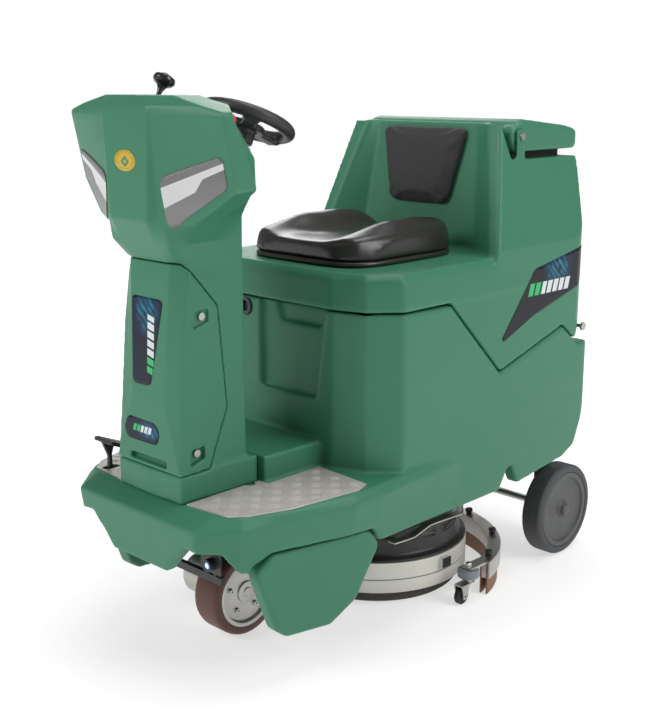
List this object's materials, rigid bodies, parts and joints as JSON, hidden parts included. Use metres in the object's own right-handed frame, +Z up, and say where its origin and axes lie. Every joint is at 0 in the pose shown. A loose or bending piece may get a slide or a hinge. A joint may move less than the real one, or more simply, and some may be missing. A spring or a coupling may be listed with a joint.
{
  "type": "ride_on_floor_scrubber",
  "caption": "Compact ride-on floor scrubber with moulded green tanks, steering column, padded seat, disc brush deck and curved squeegee.",
  "frame": {"origin": "On the floor, under the middle of the bounding box.", "axes": "+X to the driver's left, +Y to the rear, +Z up; the machine faces -Y."},
  "size_m": [0.662, 1.34, 1.2875],
  "materials": {
    "green_shell": "satin rotomoulded polyethylene, sea green",
    "black_plastic": "black moulded plastic",
    "black_gloss": "glossy black skin",
    "soft_black": "soft black foam skin",
    "charcoal": "charcoal plastic",
    "ivory": "ivory plastic",
    "grey_inlay": "grey lamp window",
    "grey_plastic": "mid grey plastic",
    "aluminium": "bright tread plate",
    "cast_alu": "machined aluminium",
    "steel": "plain steel",
    "frame_paint": "black painted steel",
    "zinc": "zinc plated",
    "brown_tyre": "red-brown polyurethane",
    "grey_tyre": "dark grey rubber",
    "rim_grey": "grey wheel disc",
    "black_rubber": "black rubber",
    "tan_rubber": "tan squeegee rubber",
    "bristle": "brown brush bristles",
    "lamp_glass": "clear lamp window",
    "red_plastic": "red button",
    "battery_case": "battery case"
  },
  "bodies": {
    "chassis": {"lower_body": "green_shell", "side_skirt_left": "green_shell", "side_skirt_right": "green_shell", "chassis_frame": "frame_paint", "tread_plate_left": "aluminium", "tread_plate_right": "aluminium", "column_shell": "green_shell", "front_cover": "green_shell", "cover_bolts": "steel", "headlight_inlays": "grey_inlay", "dash_panel": "black_plastic", "batteries": "battery_case", "charge_socket": "black_plastic", "rear_axle": "steel", "lamp_bracket": "frame_paint", "lamp_lens": "lamp_glass", "lever_boot": "black_rubber", "lift_actuator": "charcoal", "suction_hose": "black_rubber"},
    "steering": {"steering_wheel": "soft_black", "steering_shaft": "grey_plastic"},
    "drive_unit": {"drive_fork": "frame_paint", "drive_motor": "cast_alu"},
    "drive_wheel": {"drive_hub": "cast_alu", "drive_tyre": "brown_tyre"},
    "rear_wheel_left": {"rear_rim_left": "rim_grey", "rear_tyre_left": "grey_tyre"},
    "rear_wheel_right": {"rear_rim_right": "rim_grey", "rear_tyre_right": "grey_tyre"},
    "lever": {"direction_lever": "black_gloss"},
    "pedal": {"accelerator_pedal": "black_plastic"},
    "recovery": {"recovery_tank": "green_shell", "backrest_pad": "soft_black", "seat_cushion": "black_gloss", "seat_trim": "black_plastic", "lid_seal": "black_rubber", "suction_motor": "charcoal", "tank_hinge_bolts": "zinc", "lid_hinge_bolts": "zinc"},
    "lid": {"tank_lid": "green_shell"},
    "deck": {"deck_cover": "charcoal", "deck_ring": "ivory", "brush_motor": "charcoal", "actuator_rod": "steel"},
    "brush": {"brush_disc": "black_plastic", "brush_bristles": "bristle"},
    "squeegee_swinger": {"squeegee_carrier": "zinc"},
    "squeegee": {"squeegee_frame": "zinc", "squeegee_blades": "tan_rubber"},
    "roller_left": {"bumper_roller_left": "grey_plastic"},
    "roller_right": {"bumper_roller_right": "grey_plastic"},
    "caster_left": {"caster_fork_left": "zinc"},
    "caster_right": {"caster_fork_right": "zinc"},
    "caster_roll_left": {"caster_wheel_left": "black_rubber"},
    "caster_roll_right": {"caster_wheel_right": "black_rubber"},
    "key": {"ignition_key": "zinc"},
    "stop": {"stop_button": "red_plastic"},
    "mode": {"mode_button": "grey_plastic"},
    "water": {"water_button": "grey_plastic"}
  },
  "joints": [
    {"name": "steering_turn", "type": "hinge", "parent": "chassis", "child": "steering", "pos_m": [0, -0.327, 1.183], "axis": [0, 0.4067, 0.9135], "range_deg": [-200, 200]},
    {"name": "fork_steer", "type": "hinge", "parent": "chassis", "child": "drive_unit", "pos_m": [0, -0.38, 0.3], "axis": [0, 0, 1], "range_deg": [-67, 67]},
    {"name": "drive_spin", "type": "hinge", "parent": "drive_unit", "child": "drive_wheel", "pos_m": [0, -0.38, 0.104], "axis": [1, 0, 0], "continuous": true},
    {"name": "rear_left_spin", "type": "hinge", "parent": "chassis", "child": "rear_wheel_left", "pos_m": [0.276, 0.545, 0.125], "axis": [1, 0, 0], "continuous": true},
    {"name": "rear_right_spin", "type": "hinge", "parent": "chassis", "child": "rear_wheel_right", "pos_m": [-0.276, 0.545, 0.125], "axis": [1, 0, 0], "continuous": true},
    {"name": "lever_tilt", "type": "hinge", "parent": "chassis", "child": "lever", "pos_m": [-0.085, -0.5345, 1.177], "axis": [1, 0, 0], "range_deg": [-16, 16]},
    {"name": "pedal_press", "type": "hinge", "parent": "chassis", "child": "pedal", "pos_m": [-0.201, -0.585, 0.387], "axis": [1, 0, 0], "range_deg": [0, 15], "stiffness_Nm_per_rad": 3, "springref_deg": -5.73},
    {"name": "tank_tilt", "type": "hinge", "parent": "chassis", "child": "recovery", "pos_m": [0, 0.582, 0.634], "axis": [-1, 0, 0], "range_deg": [0, 70]},
    {"name": "lid_open", "type": "hinge", "parent": "recovery", "child": "lid", "pos_m": [0, 0.343, 1.136], "axis": [1, 0, 0], "range_deg": [0, 60]},
    {"name": "deck_lift", "type": "slide", "parent": "chassis", "child": "deck", "axis": [0, 0, 1], "range_m": [0, 0.04]},
    {"name": "brush_spin", "type": "hinge", "parent": "deck", "child": "brush", "pos_m": [0, 0.105, 0.07], "axis": [0, 0, 1], "continuous": true},
    {"name": "squeegee_swing", "type": "hinge", "parent": "chassis", "child": "squeegee_swinger", "pos_m": [0, 0.105, 0.258], "axis": [0, 0, 1], "range_deg": [-18, 18]},
    {"name": "squeegee_lift", "type": "slide", "parent": "squeegee_swinger", "child": "squeegee", "axis": [0, 0, 1], "range_m": [0, 0.04], "deforming": ["suction_hose"]},
    {"name": "roller_left_spin", "type": "hinge", "parent": "squeegee", "child": "roller_left", "pos_m": [0.3, 0.12, 0.0745], "axis": [0, 0, 1], "continuous": true},
    {"name": "roller_right_spin", "type": "hinge", "parent": "squeegee", "child": "roller_right", "pos_m": [-0.3, 0.12, 0.0745], "axis": [0, 0, 1], "continuous": true},
    {"name": "caster_left_swivel", "type": "hinge", "parent": "squeegee", "child": "caster_left", "pos_m": [0.3, 0.12, 0.055], "axis": [0, 0, 1], "continuous": true},
    {"name": "caster_right_swivel", "type": "hinge", "parent": "squeegee", "child": "caster_right", "pos_m": [-0.3, 0.12, 0.055], "axis": [0, 0, 1], "continuous": true},
    {"name": "caster_left_roll", "type": "hinge", "parent": "caster_left", "child": "caster_roll_left", "pos_m": [0.3, 0.093, 0.022], "axis": [1, 0, 0], "continuous": true},
    {"name": "caster_right_roll", "type": "hinge", "parent": "caster_right", "child": "caster_roll_right", "pos_m": [-0.3, 0.093, 0.022], "axis": [1, 0, 0], "continuous": true},
    {"name": "key_turn", "type": "hinge", "parent": "chassis", "child": "key", "pos_m": [-0.13, -0.506, 1.18618], "axis": [0, -0.7372, -0.6757], "range_deg": [0, 60]},
    {"name": "stop_press", "type": "slide", "parent": "chassis", "child": "stop", "axis": [0, -0.7372, -0.6757], "range_m": [0, 0.004], "stiffness_N_per_m": 600, "springref_m": -0.001},
    {"name": "mode_press", "type": "slide", "parent": "chassis", "child": "mode", "axis": [0, -0.7372, -0.6757], "range_m": [0, 0.003], "stiffness_N_per_m": 300, "springref_m": -0.001},
    {"name": "water_press", "type": "slide", "parent": "chassis", "child": "water", "axis": [0, -0.7372, -0.6757], "range_m": [0, 0.003], "stiffness_N_per_m": 300, "springref_m": -0.001}
  ],
  "couplings": [
    {"joint": "fork_steer", "follows": "steering_turn", "ratio": 0.3333}
  ]
}
